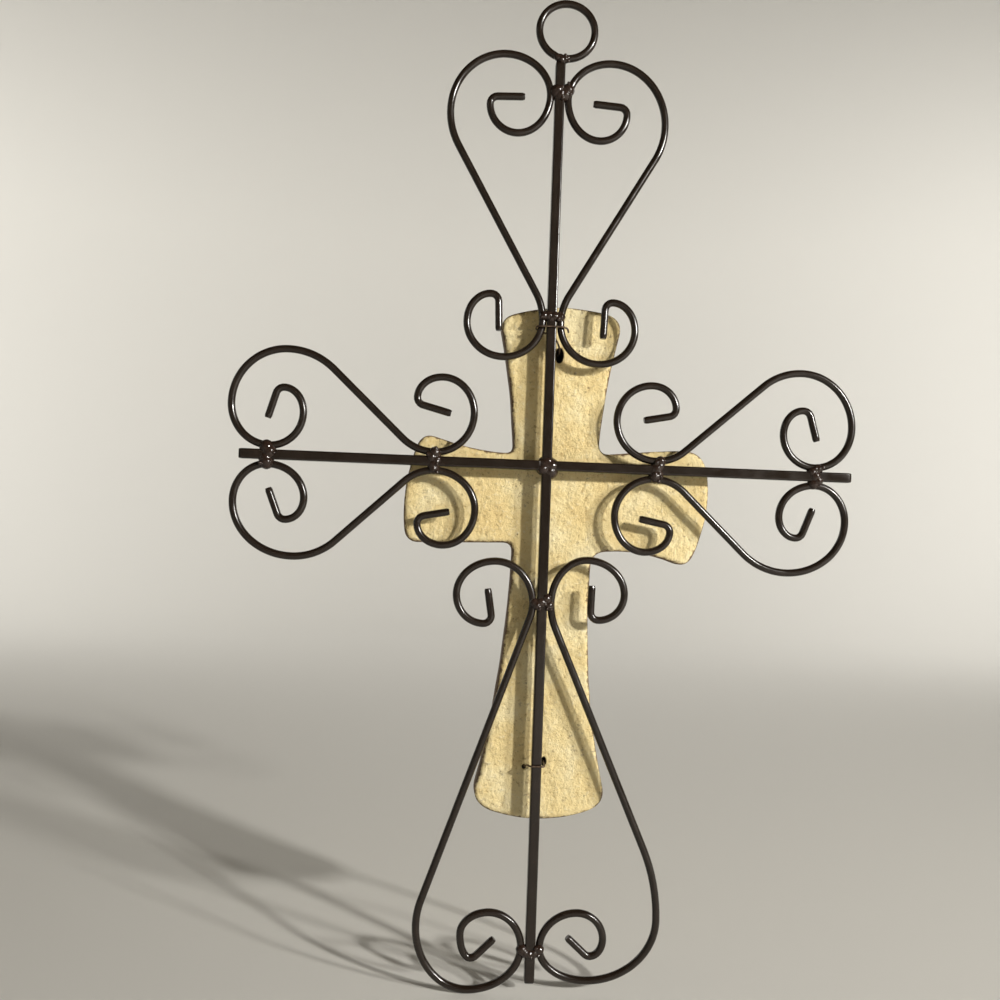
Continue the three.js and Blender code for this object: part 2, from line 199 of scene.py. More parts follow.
def linear(colour):
    """An sRGB hex colour such as #e8d39a as linear red, green, blue and alpha."""
    parts = [int(colour[i:i + 2], 16) / 255 for i in (1, 3, 5)]
    return [p / 12.92 if p <= 0.04045 else ((p + 0.055) / 1.055) ** 2.4 for p in parts] + [1.0]


def add(tree, kind, links=None, **settings):
    """Adds a node to a tree. links gives inputs by name or number: another node's output, or a value."""
    made = tree.nodes.new(kind)
    for name, value in settings.items():
        setattr(made, name, value)
    for key, value in (links or {}).items():
        if isinstance(value, bpy.types.NodeSocket):
            tree.links.new(value, made.inputs[key])
        else:
            made.inputs[key].default_value = value
    return made


def new_material(name):
    """A material with a Principled surface, its tree, the surface node and Object coordinates."""
    material = bpy.data.materials.new(name)
    material.use_nodes = True
    tree = material.node_tree
    tree.nodes.clear()
    surface = add(tree, "ShaderNodeBsdfPrincipled")
    add(tree, "ShaderNodeOutputMaterial", {"Surface": surface.outputs["BSDF"]})
    coordinates = add(tree, "ShaderNodeTexCoord").outputs["Object"]
    return material, tree, surface, coordinates


def per_mm(size):
    """The texture scale that makes a pattern's features this many millimetres wide."""
    return 1 / (size * MM)


def ramp(tree, source, stops):
    """A colour ramp over source, with (place, hex colour) stops."""
    made = add(tree, "ShaderNodeValToRGB", {"Fac": source})
    elements = made.color_ramp.elements
    elements[0].position, elements[0].color = stops[0][0], linear(stops[0][1])
    elements[1].position, elements[1].color = stops[-1][0], linear(stops[-1][1])
    for place, colour in stops[1:-1]:
        elements.new(place).color = linear(colour)
    return made.outputs["Color"]


def tint(tree, share, base, over):
    """Mixes colour over onto colour base by a share from 0 to 1."""
    links = {"Factor": share, "A": base, "B": over}
    mixed = add(tree, "ShaderNodeMix", data_type="RGBA")
    for socket in mixed.inputs:
        wanted = links.get(socket.name)
        if wanted is None or not socket.enabled:
            continue
        if isinstance(wanted, bpy.types.NodeSocket):
            tree.links.new(wanted, socket)
        else:
            socket.default_value = wanted
    return next(o for o in mixed.outputs if o.enabled)


def stretch(tree, value, low, high, to_low=0.0, to_high=1.0):
    """Maps value from low..high to to_low..to_high, held at the ends."""
    made = add(tree, "ShaderNodeMapRange", {
        "Value": value, "From Min": low, "From Max": high, "To Min": to_low, "To Max": to_high,
    })
    return made.outputs["Result"]


def times(tree, first, second):
    return add(tree, "ShaderNodeMath", {0: first, 1: second}, operation="MULTIPLY").outputs[0]


def plus(tree, first, second):
    return add(tree, "ShaderNodeMath", {0: first, 1: second}, operation="ADD").outputs[0]


def brushed_cream_paint():
    """Matt cream paint brushed over gritty fired clay: warm and mottled, with raised grains painted lighter as a
    painted highlight, fine upright brush marks, dark pinholes where the paint missed, brown clay at the worn rim
    that also paints shade along the sides, and painted shade, nearly black, on the walls of the wire holes."""
    material, tree, surface, coordinates = new_material("brushed_cream_paint_on_clay")
    mottle = add(tree, "ShaderNodeTexNoise", {"Vector": coordinates, "Scale": per_mm(24), "Detail": 5.0})
    cream = ramp(tree, mottle.outputs["Fac"], [(0.32, "#ead092"), (0.5, "#f1dba0"), (0.68, "#f7e7b6")])

    grit = add(tree, "ShaderNodeTexNoise", {
        "Vector": coordinates, "Scale": per_mm(2.8), "Detail": 6.0, "Roughness": 0.72,
    }).outputs["Fac"]
    cream = tint(tree, stretch(tree, grit, 0.57, 0.7, 0.0, 0.7), cream, linear("#a9864c"))
    # Raised grains are painted lighter: a painted highlight where the grains catch the light.
    cream = tint(tree, stretch(tree, grit, 0.44, 0.3, 0.0, 0.5), cream, linear("#fbf2d6"))

    along_brush = add(tree, "ShaderNodeMapping", {
        "Vector": coordinates, "Scale": (per_mm(2.6), per_mm(2.6), per_mm(12)),
    })
    strokes = add(tree, "ShaderNodeTexNoise", {
        "Vector": along_brush.outputs[0], "Scale": 1.0, "Detail": 3.0,
    }).outputs["Fac"]
    cream = tint(tree, stretch(tree, strokes, 0.6, 0.78, 0.0, 0.15), cream, linear("#c9a868"))

    cells = add(tree, "ShaderNodeTexVoronoi", {"Vector": coordinates, "Scale": per_mm(4.2)}).outputs["Distance"]
    clusters = add(tree, "ShaderNodeTexNoise", {"Vector": coordinates, "Scale": per_mm(15), "Detail": 3.0})
    reach = stretch(tree, clusters.outputs["Fac"], 0.55, 0.75, 0.0, 0.17)
    depth = add(tree, "ShaderNodeMath", {0: reach, 1: cells}, operation="SUBTRACT").outputs[0]
    pinhole = stretch(tree, depth, 0.0, 0.09, 0.0, 0.7)
    cream = tint(tree, pinhole, cream, linear("#6d4c28"))

    rim_wear_and_shade = add(tree, "ShaderNodeAttribute", attribute_name="rim_wear_and_shade").outputs["Fac"]
    pit = add(tree, "ShaderNodeAttribute", attribute_name="pit").outputs["Fac"]
    hole = add(tree, "ShaderNodeAttribute", attribute_name="hole").outputs["Fac"]
    scuffs = add(tree, "ShaderNodeTexNoise", {"Vector": coordinates, "Scale": per_mm(3.2), "Detail": 6.0, "Roughness": 0.65})
    ragged_rim_and_shade = plus(tree, rim_wear_and_shade, stretch(tree, scuffs.outputs["Fac"], 0.3, 0.7, -0.28, 0.28))
    # The rim and sides are painted dark brown: worn bare clay, and also painted shade along the sides.
    cream = tint(tree, stretch(tree, ragged_rim_and_shade, 0.12, 0.4, 0.0, 0.92), cream, linear("#5a3b20"))
    cream = tint(tree, stretch(tree, pit, 0.15, 0.8, 0.0, 0.85), cream, linear("#5a3d22"))
    # Painted shade: the walls of the wire holes are painted nearly black, darker than the bare clay there.
    cream = tint(tree, hole, cream, linear("#1d120e"))
    tree.links.new(cream, surface.inputs["Base Color"])

    tree.links.new(stretch(tree, grit, 0.3, 0.7, 0.5, 0.7), surface.inputs["Roughness"])
    surface.inputs["IOR"].default_value = 1.48
    swells = add(tree, "ShaderNodeTexNoise", {"Vector": coordinates, "Scale": per_mm(9), "Detail": 2.0})
    coarse = add(tree, "ShaderNodeBump", {"Distance": 1.4 * MM, "Height": swells.outputs["Fac"]})
    relief = plus(tree, times(tree, strokes, -0.2), times(tree, grit, -1.0))
    relief = plus(tree, relief, times(tree, pinhole, -0.7))
    fine = add(tree, "ShaderNodeBump", {
        "Distance": 1.7 * MM, "Height": relief, "Normal": coarse.outputs["Normal"],
    })
    tree.links.new(fine.outputs["Normal"], surface.inputs["Normal"])
    return material


def satin_brown_paint(name, base, light, roughness, relief):
    """Satin brown paint sprayed on mild steel: nearly black, with soft sharp-edged highlights, faint
    unevenness of the coat and a little lighter where it is rubbed thin."""
    material, tree, surface, coordinates = new_material(name)
    patches = add(tree, "ShaderNodeTexNoise", {"Vector": coordinates, "Scale": per_mm(9), "Detail": 5.0})
    rubbed = stretch(tree, patches.outputs["Fac"], 0.5, 0.75, 0.0, 0.6)
    colour = tint(tree, rubbed, linear(base), linear(light))
    grain = add(tree, "ShaderNodeTexNoise", {"Vector": coordinates, "Scale": per_mm(0.9), "Detail": 3.0})
    specks = stretch(tree, grain.outputs["Fac"], 0.68, 0.78, 0.0, 0.5)
    colour = tint(tree, specks, colour, linear("#5b4636"))
    tree.links.new(colour, surface.inputs["Base Color"])
    tree.links.new(
        stretch(tree, patches.outputs["Fac"], 0.3, 0.7, roughness - 0.06, roughness + 0.08),
        surface.inputs["Roughness"],
    )
    surface.inputs["IOR"].default_value = 1.5
    height = plus(tree, grain.outputs["Fac"], patches.outputs["Fac"])
    bump = add(tree, "ShaderNodeBump", {"Strength": relief, "Distance": 0.15 * MM, "Height": height})
    tree.links.new(bump.outputs["Normal"], surface.inputs["Normal"])
    return material


def dark_annealed_wire():
    """Soft black annealed iron wire: dark oxide with a dull metal sheen and a brown cast."""
    material, tree, surface, coordinates = new_material("dark_annealed_wire")
    oxide = add(tree, "ShaderNodeTexNoise", {"Vector": coordinates, "Scale": per_mm(1.6), "Detail": 4.0})
    colour = ramp(tree, oxide.outputs["Fac"], [(0.35, "#40352e"), (0.6, "#6b5949"), (0.8, "#8f7860")])
    tree.links.new(colour, surface.inputs["Base Color"])
    surface.inputs["Metallic"].default_value = 0.6
    surface.inputs["Roughness"].default_value = 0.42
    bump = add(tree, "ShaderNodeBump", {"Strength": 0.2, "Distance": 0.1 * MM, "Height": oxide.outputs["Fac"]})
    tree.links.new(bump.outputs["Normal"], surface.inputs["Normal"])
    return material


def stand_in_place(name, mesh, node):
    """Makes a mesh the piece that shows for a CAD node and rides with it."""
    piece = bpy.data.objects.new(name, mesh)
    bpy.context.scene.collection.objects.link(piece)
    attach(piece, "root")
    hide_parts(node)
    return piece


def to_frame(points):
    """Points in millimetres from the crossing as metres in the frame."""
    return np.asarray(points, float) * MM + np.array(CROSSING)


def mesh_from(name, points, edges, faces):
    mesh = bpy.data.meshes.new(name)
    mesh.from_pydata(to_frame(points).tolist(), edges, faces)
    mesh.update()
    return mesh


# --- paths of the rods ---


def quarter_turn(start, end, leaves_along):
    """Points of a quarter ellipse after its first point. It leaves along the bar, or square to it."""
    count = math.ceil(math.pi / 2 / TURN_STEP)
    points = []
    for i in range(1, count + 1):
        angle = math.pi / 2 * i / count
        early, late = math.sin(angle), 1 - math.cos(angle)
        along, out = (early, late) if leaves_along else (late, early)
        points.append((start[0] + (end[0] - start[0]) * along, start[1] + (end[1] - start[1]) * out))
    return points


def arc(centre, radius, first, last):
    """Points of an arc after its first point, from one angle to another."""
    count = max(1, math.ceil(abs(last - first) / TURN_STEP))
    angles = [first + (last - first) * i / count for i in range(1, count + 1)]
    return [(centre[0] + radius * math.cos(a), centre[1] + radius * math.sin(a)) for a in angles]


def curl(weld, turns, tail):
    """A curl from its weld to its tail: quarter turns, all the same way, a hook and a straight tail."""
    points = [(weld, WELD_OUT)]
    for i, turn in enumerate(turns):
        points += quarter_turn(points[-1], turn, i % 2 == 0)
    hook_start = math.pi / 2 * (3 - len(turns))
    centre = (
        turns[-1][0] - HOOK_RADIUS * math.cos(hook_start),
        turns[-1][1] - HOOK_RADIUS * math.sin(hook_start),
    )
    away = (tail[0] - centre[0], tail[1] - centre[1])
    hook_end = math.atan2(away[1], away[0]) + math.acos(HOOK_RADIUS / math.hypot(*away))
    while hook_end > hook_start:
        hook_end -= 2 * math.pi
    return points + arc(centre, HOOK_RADIUS, hook_start, hook_end) + [tail]


def straight_run(scroll):
    """From the outer curl's shoulder to the inner weld: an arc, a straight and a counter-arc."""
    shoulder_radius, foot_radius = scroll["shoulder_radius"], scroll["foot_radius"]
    outer = (scroll["shoulder"][0], scroll["shoulder"][1] - shoulder_radius)
    inner = (scroll["inner_weld"], WELD_OUT + foot_radius)
    across, out = outer[0] - inner[0], outer[1] - inner[1]
    drop = math.atan2(out, across) + math.asin((shoulder_radius + foot_radius) / math.hypot(across, out))
    foot = (inner[0] + foot_radius * math.sin(drop), inner[1] - foot_radius * math.cos(drop))
    return [
        *arc(outer, shoulder_radius, math.pi / 2, math.pi / 2 + drop),
        foot,
        *arc(inner, foot_radius, drop - math.pi / 2, -math.pi / 2),
    ]


def scroll_path(name):
    """A scroll's axis in x, y and z, from the tail in its eye to the tail of its inner curl."""
    scroll, place = SCROLLS[name]
    weld = (scroll["outer_weld"], WELD_OUT)
    flat = [
        *reversed(curl(scroll["outer_weld"], *scroll["eye"])),
        *quarter_turn(weld, scroll["reach"], True),
        *quarter_turn(scroll["reach"], scroll["shoulder"], False),
        *straight_run(scroll),
        *curl(scroll["inner_weld"], *scroll["curl"])[1:],
    ]
    return [(x, 0, z) for x, z in (place(*point) for point in flat)]


def ring_path():
    """The hanging ring's axis, bent round until the rod's ends nearly meet above the upright."""
    seam = math.atan2(-RING_RADIUS, -RING_SIDE)
    half_gap = RING_GAP / 2 / RING_RADIUS
    turns = arc((RING_SIDE, RING_HEIGHT), RING_RADIUS, seam + half_gap, seam + 2 * math.pi - half_gap)
    return [(x, 0, z) for x, z in turns]


def smooth_path(knots, count):
    """A smooth curve of count points through the knots."""
    knots = [Vector(k) for k in knots]
    ends = [knots[0] * 2 - knots[1], *knots, knots[-1] * 2 - knots[-2]]
    points = []
    spans = len(knots) - 1
    for i in range(count + 1):
        span = min(int(i * spans / count), spans - 1)
        t = i * spans / count - span
        a, b, c, d = ends[span:span + 4]
        points.append(0.5 * (
            2 * b + (c - a) * t + (2 * a - 5 * b + 4 * c - d) * t * t + (3 * b - a - 3 * c + d) * t ** 3
        ))
    return points


# --- bars, rods and wires, swept along their paths by Geometry Nodes ---


def stock_tree(name, square):
    """A node tree that sweeps round or square stock along a path, with eased ends and a slightly uneven skin."""
    tree = bpy.data.node_groups.new(name, "GeometryNodeTree")
    tree.interface.new_socket("Geometry", in_out="INPUT", socket_type="NodeSocketGeometry")
    for label in ("Size", "Edge", "Step", "End Ease", "End Size", "Unevenness"):
        tree.interface.new_socket(label, in_out="INPUT", socket_type="NodeSocketFloat")
    tree.interface.new_socket("Material", in_out="INPUT", socket_type="NodeSocketMaterial")
    tree.interface.new_socket("Geometry", in_out="OUTPUT", socket_type="NodeSocketGeometry")
    given = add(tree, "NodeGroupInput").outputs

    path = add(tree, "GeometryNodeMeshToCurve", {"Mesh": given["Geometry"]})
    path = add(tree, "GeometryNodeResampleCurve", {"Curve": path.outputs[0]}, mode="LENGTH")
    tree.links.new(given["Step"], path.inputs["Length"])
    if square:
        section = add(tree, "GeometryNodeCurvePrimitiveQuadrilateral", {
            "Width": given["Size"], "Height": given["Size"],
        })
        section = add(tree, "GeometryNodeFilletCurve", {
            "Curve": section.outputs[0], "Radius": given["Edge"],
        }, mode="POLY")
        section.inputs["Count"].default_value = 5
    else:
        half = add(tree, "ShaderNodeMath", {0: given["Size"], 1: 0.5}, operation="MULTIPLY")
        section = add(tree, "GeometryNodeCurvePrimitiveCircle", {"Resolution": 16, "Radius": half.outputs[0]})

    so_far = add(tree, "GeometryNodeSplineParameter").outputs["Length"]
    whole = add(tree, "GeometryNodeSplineLength").outputs["Length"]
    left = add(tree, "ShaderNodeMath", {0: whole, 1: so_far}, operation="SUBTRACT")
    nearest = add(tree, "ShaderNodeMath", {0: so_far, 1: left.outputs[0]}, operation="MINIMUM")
    eased = add(tree, "ShaderNodeMapRange", {
        "Value": nearest.outputs[0], "From Max": given["End Ease"], "To Min": given["End Size"], "To Max": 1.0,
    })
    swept = add(tree, "GeometryNodeCurveToMesh", {
        "Curve": path.outputs[0], "Profile Curve": section.outputs[0],
        "Scale": eased.outputs["Result"], "Fill Caps": True,
    })
    skin = add(tree, "ShaderNodeTexNoise", {"Scale": per_mm(11), "Detail": 2.0})
    centred = add(tree, "ShaderNodeVectorMath", {0: skin.outputs["Color"], 1: (0.5, 0.5, 0.5)}, operation="SUBTRACT")
    push = add(tree, "ShaderNodeVectorMath", {0: centred.outputs[0], "Scale": given["Unevenness"]}, operation="SCALE")
    uneven = add(tree, "GeometryNodeSetPosition", {"Geometry": swept.outputs[0], "Offset": push.outputs[0]})
    smooth = add(tree, "GeometryNodeSetShadeSmooth", {"Geometry": uneven.outputs[0]})
    real = add(tree, "GeometryNodeRealizeInstances", {"Geometry": smooth.outputs[0]})
    painted = add(tree, "GeometryNodeSetMaterial", {"Geometry": real.outputs[0], "Material": given["Material"]})
    add(tree, "NodeGroupOutput", {"Geometry": painted.outputs[0]})
    return tree


def run_tree(name, mesh, tree, settings, flat_sided=False):
    """Runs a node tree on a mesh and returns the result as a plain mesh. A flat-sided one is shaded by its wide faces."""
    carrier = bpy.data.objects.new(name, mesh)
    bpy.context.scene.collection.objects.link(carrier)
    modifier = carrier.modifiers.new("shape", "NODES")
    modifier.node_group = tree
    inputs = {s.name: s.identifier for s in tree.interface.items_tree if s.in_out == "INPUT"}
    for label, value in settings.items():
        modifier[inputs[label]] = value
    if flat_sided:
        carrier.modifiers.new("wide_faces", "WEIGHTED_NORMAL")
    depsgraph = bpy.context.evaluated_depsgraph_get()
    made = bpy.data.meshes.new_from_object(carrier.evaluated_get(depsgraph), depsgraph=depsgraph)
    made.name = name
    made.materials.clear()
    made.materials.append(settings["Material"])
    made.polygons.foreach_set("material_index", np.zeros(len(made.polygons), np.int32))
    bpy.data.objects.remove(carrier)
    bpy.data.meshes.remove(mesh)
    return made


def sweep(name, path, tree, settings, flat_sided=False):
    """Sweeps stock along a path given in millimetres from the crossing."""
    edges = [(i, i + 1) for i in range(len(path) - 1)]
    mesh = run_tree(name, mesh_from(name + "_path", path, edges, []), tree, settings, flat_sided)
    if not flat_sided:
        mesh.set_sharp_from_angle(angle=math.radians(38))
    return mesh


# --- weld beads ---


def bead_tree():
    """A node tree that runs lumps of weld metal together and roughens their skin."""
    tree = bpy.data.node_groups.new("weld_bead", "GeometryNodeTree")
    tree.interface.new_socket("Geometry", in_out="INPUT", socket_type="NodeSocketGeometry")
    for label in ("Grain", "Roughness"):
        tree.interface.new_socket(label, in_out="INPUT", socket_type="NodeSocketFloat")
    tree.interface.new_socket("Material", in_out="INPUT", socket_type="NodeSocketMaterial")
    tree.interface.new_socket("Geometry", in_out="OUTPUT", socket_type="NodeSocketGeometry")
    given = add(tree, "NodeGroupInput").outputs
    size = add(tree, "GeometryNodeInputNamedAttribute", {"Name": "lump"}, data_type="FLOAT").outputs["Attribute"]
    drops = add(tree, "GeometryNodeMeshToPoints", {"Mesh": given["Geometry"], "Radius": size})
    pool = add(tree, "GeometryNodePointsToVolume", {"Points": drops.outputs[0], "Radius": size},
               resolution_mode="VOXEL_SIZE")
    tree.links.new(given["Grain"], pool.inputs["Voxel Size"])
    skin = add(tree, "GeometryNodeVolumeToMesh", {"Volume": pool.outputs[0], "Threshold": 0.1},
               resolution_mode="VOXEL_SIZE")
    tree.links.new(given["Grain"], skin.inputs["Voxel Size"])
    ripple = add(tree, "ShaderNodeTexNoise", {"Scale": per_mm(2.4), "Detail": 2.0})
    centred = add(tree, "ShaderNodeVectorMath", {0: ripple.outputs["Color"], 1: (0.5, 0.5, 0.5)}, operation="SUBTRACT")
    push = add(tree, "ShaderNodeVectorMath", {0: centred.outputs[0], "Scale": given["Roughness"]}, operation="SCALE")
    rough = add(tree, "GeometryNodeSetPosition", {"Geometry": skin.outputs[0], "Offset": push.outputs[0]})
    smooth = add(tree, "GeometryNodeSetShadeSmooth", {"Geometry": rough.outputs[0]})
    real = add(tree, "GeometryNodeRealizeInstances", {"Geometry": smooth.outputs[0]})
    painted = add(tree, "GeometryNodeSetMaterial", {"Geometry": real.outputs[0], "Material": given["Material"]})
    add(tree, "NodeGroupOutput", {"Geometry": painted.outputs[0]})
    return tree


# Where the weld puddled along its run, as shares of its half length, and the spatter drops on it
BEAD_RUN = (-0.88, -0.4, 0.12, 0.5, 0.88)
BEAD_DROPS = 5


def bead_lumps(name, node, draw):
    """Lumps of weld metal scattered over the joint that a CAD bead covers, as points with a size."""
    low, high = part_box(node)
    centre, half = (low + high) / 2, (high - low) / 2
    upright = half.z > half.x
    long_half, short_half = (half.z, half.x) if upright else (half.x, half.z)
    points, sizes = [], []
    for place in BEAD_RUN:
        size = draw.uniform(0.52, 0.76) * short_half
        along = (place + draw.uniform(-0.12, 0.12)) * (long_half - size)
        aside = draw.uniform(-0.95, 0.95) * (short_half - size)
        top = high.y - draw.uniform(0.25, 1.0) * MM
        across, up = (aside, along) if upright else (along, aside)
        points.append((centre.x + across, top - size, centre.z + up))
        sizes.append(size)
    for _ in range(BEAD_DROPS):
        lump = draw.randrange(len(BEAD_RUN))
        size = draw.uniform(0.9, 1.7) * MM
        turn = draw.uniform(0, 2 * math.pi)
        x = points[lump][0] + 0.8 * sizes[lump] * math.cos(turn)
        z = points[lump][2] + 0.8 * sizes[lump] * math.sin(turn)
        points.append((
            min(max(x, low.x + size), high.x - size),
            high.y - draw.uniform(0.2, 1.0) * MM - size,
            min(max(z, low.z + size), high.z - size),
        ))
        sizes.append(size)
    mesh = bpy.data.meshes.new(name)
    mesh.from_pydata(points, [], [])
    mesh.attributes.new("lump", "FLOAT", "POINT").data.foreach_set("value", sizes)
    return mesh


# --- clay cross ---


def edge_point(start, end, bulge, share):
    x, z = end[0] - start[0], end[1] - start[1]
    swell = 4 * bulge * share * (1 - share) / math.hypot(x, z)
    return start[0] + x * share + z * swell, start[1] + z * share - x * swell


def clay_outline(spacing):
    """The clay cross's outline as evenly spaced points: bulging edges joined by rounded corners."""
    points = []
    count = len(CLAY_CORNERS)
    for i, here in enumerate(CLAY_CORNERS):
        before, after = CLAY_CORNERS[i - 1], CLAY_CORNERS[(i + 1) % count]
        cut_before = here[2] / math.dist(here[:2], before[:2])
        cut_after = here[2] / math.dist(here[:2], after[:2])
        cut_next = after[2] / math.dist(here[:2], after[:2])
        arrive = edge_point(before, here, before[3], 1 - cut_before)
        leave = edge_point(here, after, here[3], cut_after)
        for step in range(12):
            t = step / 12
            points.append([
                a * (1 - t) ** 2 + 2 * b * t * (1 - t) + c * t * t for a, b, c in zip(arrive, here[:2], leave)
            ])
        for step in range(60):
            points.append(edge_point(here, after, here[3], cut_after + (1 - cut_after - cut_next) * step / 60))
    loop = np.array(points)
    loop = np.vstack([loop, loop[:1]])
    reach = np.concatenate([[0], np.cumsum(np.linalg.norm(np.diff(loop, axis=0), axis=1))])
    even = np.linspace(0, reach[-1], round(reach[-1] / spacing), endpoint=False)
    return np.stack([np.interp(even, reach, loop[:, 0]), np.interp(even, reach, loop[:, 1])], axis=1)


def inward(loop):
    """Unit vectors that point into the loop."""
    along = np.roll(loop, -2, axis=0) - np.roll(loop, 2, axis=0)
    along /= np.linalg.norm(along, axis=1)[:, None]
    ahead = np.roll(loop, -1, axis=0)
    area = np.sum(loop[:, 0] * ahead[:, 1] - ahead[:, 0] * loop[:, 1])
    return np.stack([-along[:, 1], along[:, 0]], axis=1) * np.sign(area)


def inside(points, loop):
    """Which points lie inside a loop."""
    result = np.zeros(len(points), bool)
    ahead = np.roll(loop, -1, axis=0)
    for (x0, z0), (x1, z1) in zip(loop, ahead):
        crosses = (z0 > points[:, 1]) != (z1 > points[:, 1])
        if z0 == z1 or not crosses.any():
            continue
        result ^= crosses & (points[:, 0] < (x1 - x0) * (points[:, 1] - z0) / (z1 - z0) + x0)
    return result


def fill(loop, holes, spacing):
    """Triangles that fill a loop around its holes: the points after the loops' own, and the faces."""
    low, high = loop.min(axis=0), loop.max(axis=0)
    rows = np.arange(low[1], high[1], spacing * math.sqrt(3) / 2)
    grid = np.concatenate([
        np.stack([np.arange(low[0] + (i % 2) * spacing / 2, high[0], spacing), np.full_like(
            np.arange(low[0] + (i % 2) * spacing / 2, high[0], spacing), z)], axis=1)
        for i, z in enumerate(rows)
    ])
    grid = grid[inside(grid, loop + inward(loop) * 0.6 * spacing)]
    for hole in holes:
        centre = hole.mean(axis=0)
        grid = grid[~inside(grid, centre + (hole - centre) * 1.25)]
    loops = [loop, *holes]
    edges, start = [], 0
    for ring in loops:
        edges += [(start + i, start + (i + 1) % len(ring)) for i in range(len(ring))]
        start += len(ring)
    flat = np.vstack([*loops, grid])
    _, _, triangles, origins, _, _ = geometry.delaunay_2d_cdt([Vector(p) for p in flat], edges, [], 1, 1e-6)
    triangles = np.array([[origins[v][0] for v in t] for t in triangles])
    for hole in holes:
        triangles = triangles[~inside(flat[triangles].mean(axis=1), hole)]
    return grid, triangles


# Marks in the back as (x, z, half width, depth): a dent, grit pits and chips along the foot
CLAY_MARKS = [
    (43, -14, 2.4, 0.5), (42, -12, 1.6, 0.4), (23, -11, 1.5, 0.4), (77, -23, 1.1, 0.4),
    (75, -26, 0.9, 0.4), (80, -29, 0.9, 0.35), (-27, 53, 1.3, 0.3), (-25, 50, 1, 0.3),
    (-29, 48, 0.9, 0.3), (12, 71, 1.2, 0.4), (11, 69, 0.9, 0.3), (29, 93, 1.2, 0.3),
    (32, -215, 2.2, 0.6), (28, -219, 1.8, 0.6), (34, -210, 1.3, 0.5), (16, -223, 1.7, 0.6),
    (2, -224, 1.5, 0.5), (-15, -224, 1.8, 0.6), (-27, -223, 1.4, 0.5), (-37, -219, 1.5, 0.5),
    (-14, -9, 1, 0.3), (-73, -17, 1, 0.3), (-97, -44, 1.3, 0.4), (82, -47, 1.3, 0.4),
    (18, -159, 1.2, 0.4), (22, -168, 1.1, 0.4),
]
CLAY_SPACING = 1.15
RIM_ROWS = 7
SIDE_ROWS = 3


